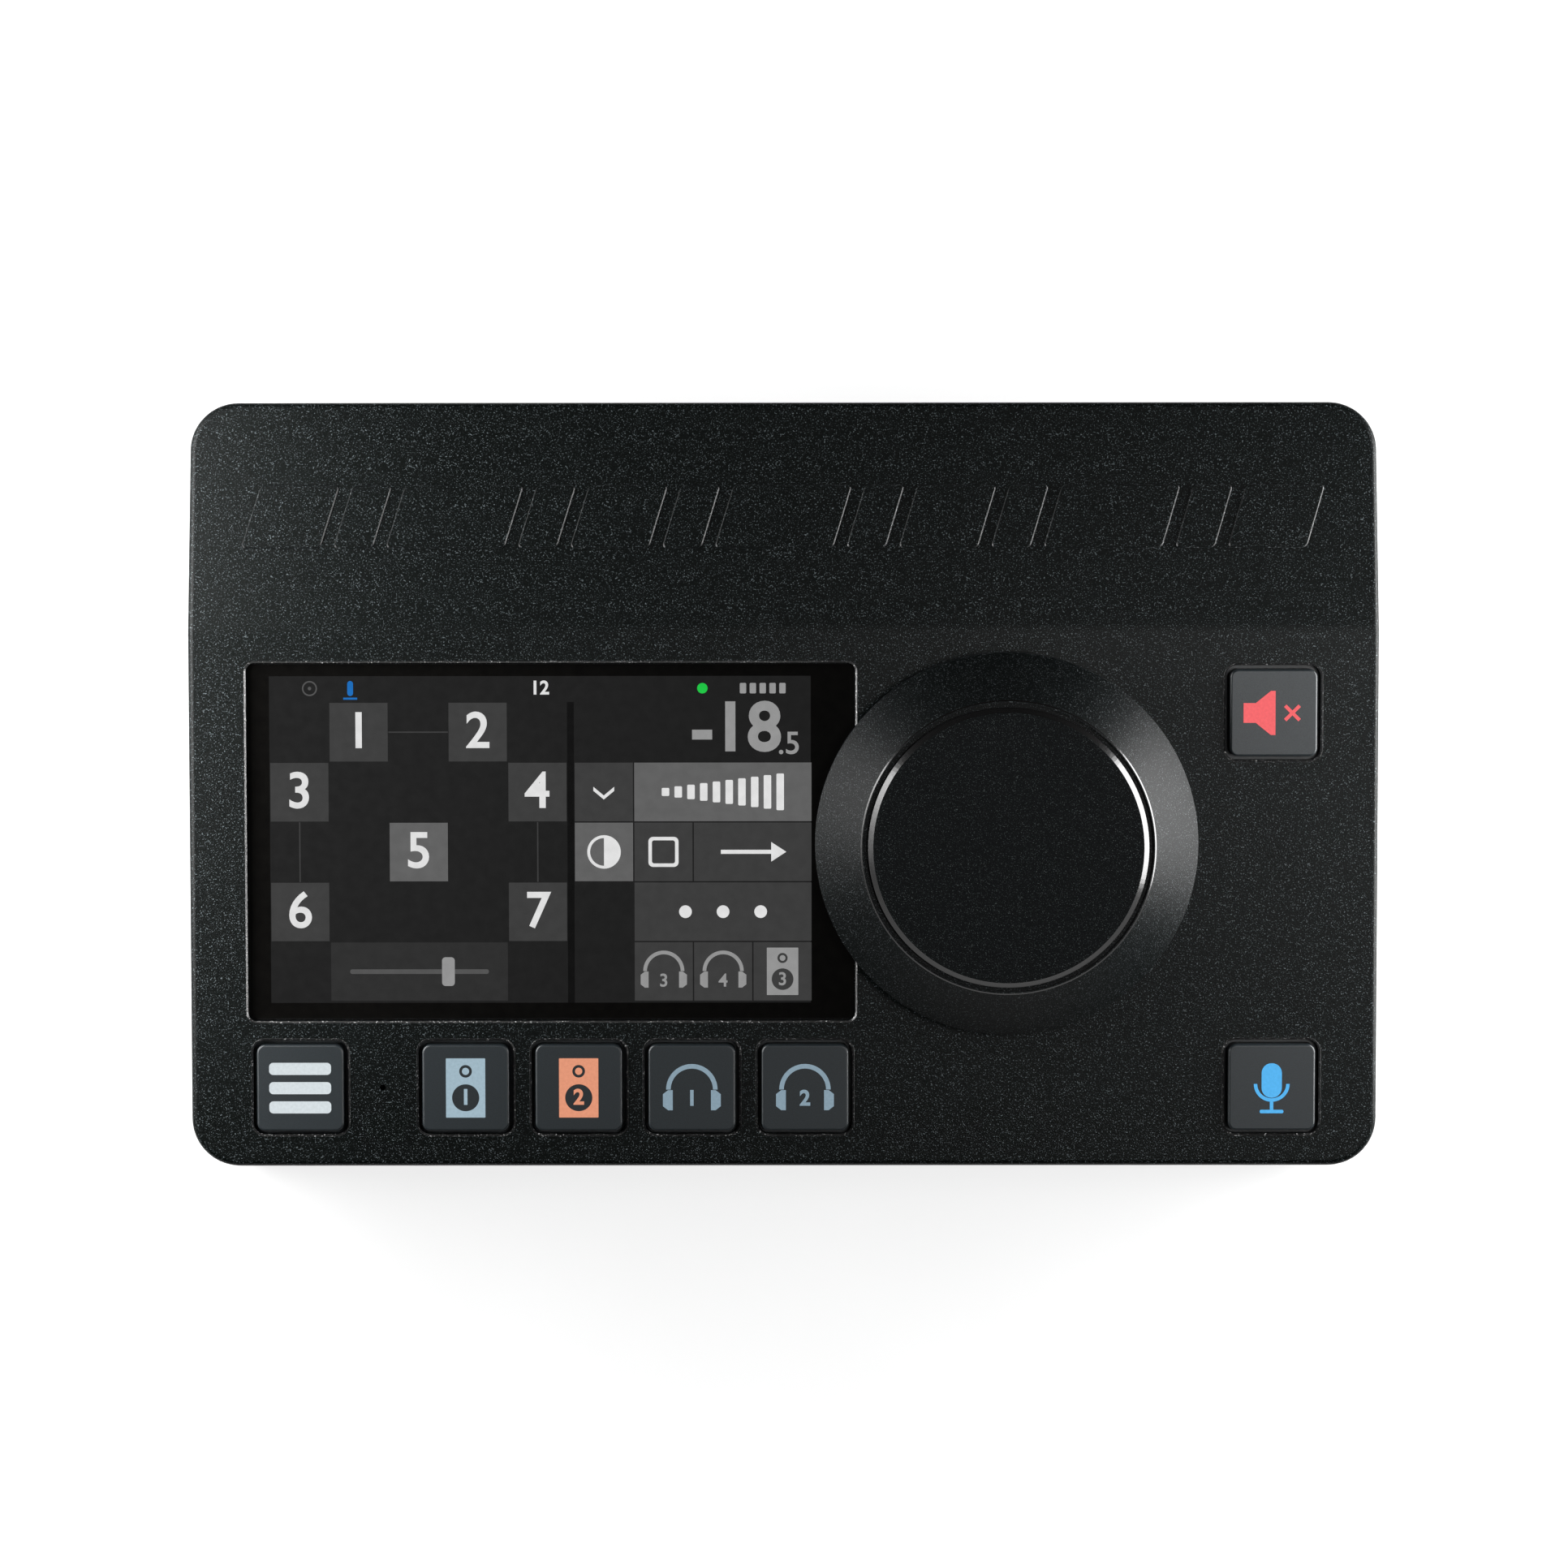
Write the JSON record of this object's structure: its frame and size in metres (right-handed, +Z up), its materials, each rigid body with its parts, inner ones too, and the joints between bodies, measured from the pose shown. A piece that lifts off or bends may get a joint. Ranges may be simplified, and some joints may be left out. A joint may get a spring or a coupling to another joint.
{
  "type": "studio monitor controller",
  "caption": "Desktop wedge with a sloping control deck that carries a display, a large volume knob and square lit keys; audio sockets in recessed front and rear panels.",
  "frame": {"origin": "on the table under the middle of the housing", "axes": "+X to the right along the long side, +Y to the rear, +Z up"},
  "size_m": [0.205, 0.1316, 0.0662],
  "materials": {
    "powder_coat": "black fine-textured powder coat on cast aluminium",
    "base_paint": "black satin paint on steel sheet",
    "panel_anodised": "black anodised, satin",
    "knob_anodised": "black anodised, fine turned",
    "keycap": "smoked satin plastic with lit pictograms",
    "display_glass": "clear cover glass over a dark screen",
    "display": "display module with a thin steel rim",
    "gasket": "black foam tape",
    "rubber": "matt black rubber",
    "zinc_steel": "zinc-plated",
    "black_steel": "black oxide",
    "brass": "plain brass",
    "contact": "gold-plated",
    "nickel": "nickel-plated",
    "circuit_board": "green solder mask",
    "chip": "moulded black package",
    "plunger": "black nylon",
    "ribbon": "thin polyester film",
    "socket_plastic": "moulded black",
    "socket_metal": "nickel-plated can"
  },
  "bodies": {
    "housing": {"top_housing": "powder_coat", "base_plate": "base_paint", "front_panel": "panel_anodised", "rear_input_panel": "panel_anodised", "rear_output_panel": "panel_anodised", "display_glass": "display_glass", "display_module": "display", "display_gasket": "gasket", "feet": "rubber", "mic_boot": "rubber", "board_standoffs": "zinc_steel", "board_screws": "zinc_steel", "base_screws": "black_steel", "connector_screws": "black_steel", "jack_nuts": "black_steel", "mic_stand_bush": "brass", "encoder_bushing": "brass", "encoder_nut": "brass", "output_pins": "contact", "inlet_pin": "nickel", "main_board": "circuit_board", "control_board": "circuit_board", "board_chips": "chip", "encoder_body": "chip", "key_switches": "chip", "talkback_mic": "chip", "control_ribbon": "ribbon", "display_ribbon": "ribbon", "headphone_jack_1": "socket_plastic", "headphone_jack_2": "socket_plastic", "input_jack_1": "socket_plastic", "input_jack_2": "socket_plastic", "line_output_1": "socket_plastic", "line_output_2": "socket_plastic", "combo_input_1": "socket_plastic", "combo_input_2": "socket_plastic", "main_output_1": "socket_plastic", "main_output_2": "socket_plastic", "combo_insert_1": "socket_plastic", "combo_insert_2": "socket_plastic", "power_inlet": "socket_plastic", "network_jack": "socket_metal"},
    "knob": {"volume_knob": "knob_anodised", "knob_cap": "knob_anodised", "knob_screw": "zinc_steel", "encoder_shaft": "zinc_steel"},
    "home_key": {"home_keycap": "keycap", "home_plunger": "plunger"},
    "speaker_1_key": {"speaker_1_keycap": "keycap", "speaker_1_plunger": "plunger"},
    "speaker_2_key": {"speaker_2_keycap": "keycap", "speaker_2_plunger": "plunger"},
    "headphone_1_key": {"headphone_1_keycap": "keycap", "headphone_1_plunger": "plunger"},
    "headphone_2_key": {"headphone_2_keycap": "keycap", "headphone_2_plunger": "plunger"},
    "mute_key": {"mute_keycap": "keycap", "mute_plunger": "plunger"},
    "talkback_key": {"talkback_keycap": "keycap", "talkback_plunger": "plunger"}
  },
  "joints": [
    {"name": "volume_turn", "type": "hinge", "parent": "housing", "child": "knob", "pos_m": [0.0383, -0.01034, 0.04978], "axis": [0, -0.1564, 0.9877], "continuous": true},
    {"name": "home_press", "type": "slide", "parent": "housing", "child": "home_key", "axis": [0, 0.1564, -0.9877], "range_m": [0, 0.0008], "stiffness_N_per_m": 120, "springref_m": -0.001},
    {"name": "speaker_1_press", "type": "slide", "parent": "housing", "child": "speaker_1_key", "axis": [0, 0.1564, -0.9877], "range_m": [0, 0.0008], "stiffness_N_per_m": 120, "springref_m": -0.001},
    {"name": "speaker_2_press", "type": "slide", "parent": "housing", "child": "speaker_2_key", "axis": [0, 0.1564, -0.9877], "range_m": [0, 0.0008], "stiffness_N_per_m": 120, "springref_m": -0.001},
    {"name": "headphone_1_press", "type": "slide", "parent": "housing", "child": "headphone_1_key", "axis": [0, 0.1564, -0.9877], "range_m": [0, 0.0008], "stiffness_N_per_m": 120, "springref_m": -0.001},
    {"name": "headphone_2_press", "type": "slide", "parent": "housing", "child": "headphone_2_key", "axis": [0, 0.1564, -0.9877], "range_m": [0, 0.0008], "stiffness_N_per_m": 120, "springref_m": -0.001},
    {"name": "mute_press", "type": "slide", "parent": "housing", "child": "mute_key", "axis": [0, 0.1564, -0.9877], "range_m": [0, 0.0008], "stiffness_N_per_m": 120, "springref_m": -0.001},
    {"name": "talkback_press", "type": "slide", "parent": "housing", "child": "talkback_key", "axis": [0, 0.1564, -0.9877], "range_m": [0, 0.0008], "stiffness_N_per_m": 120, "springref_m": -0.001}
  ]
}
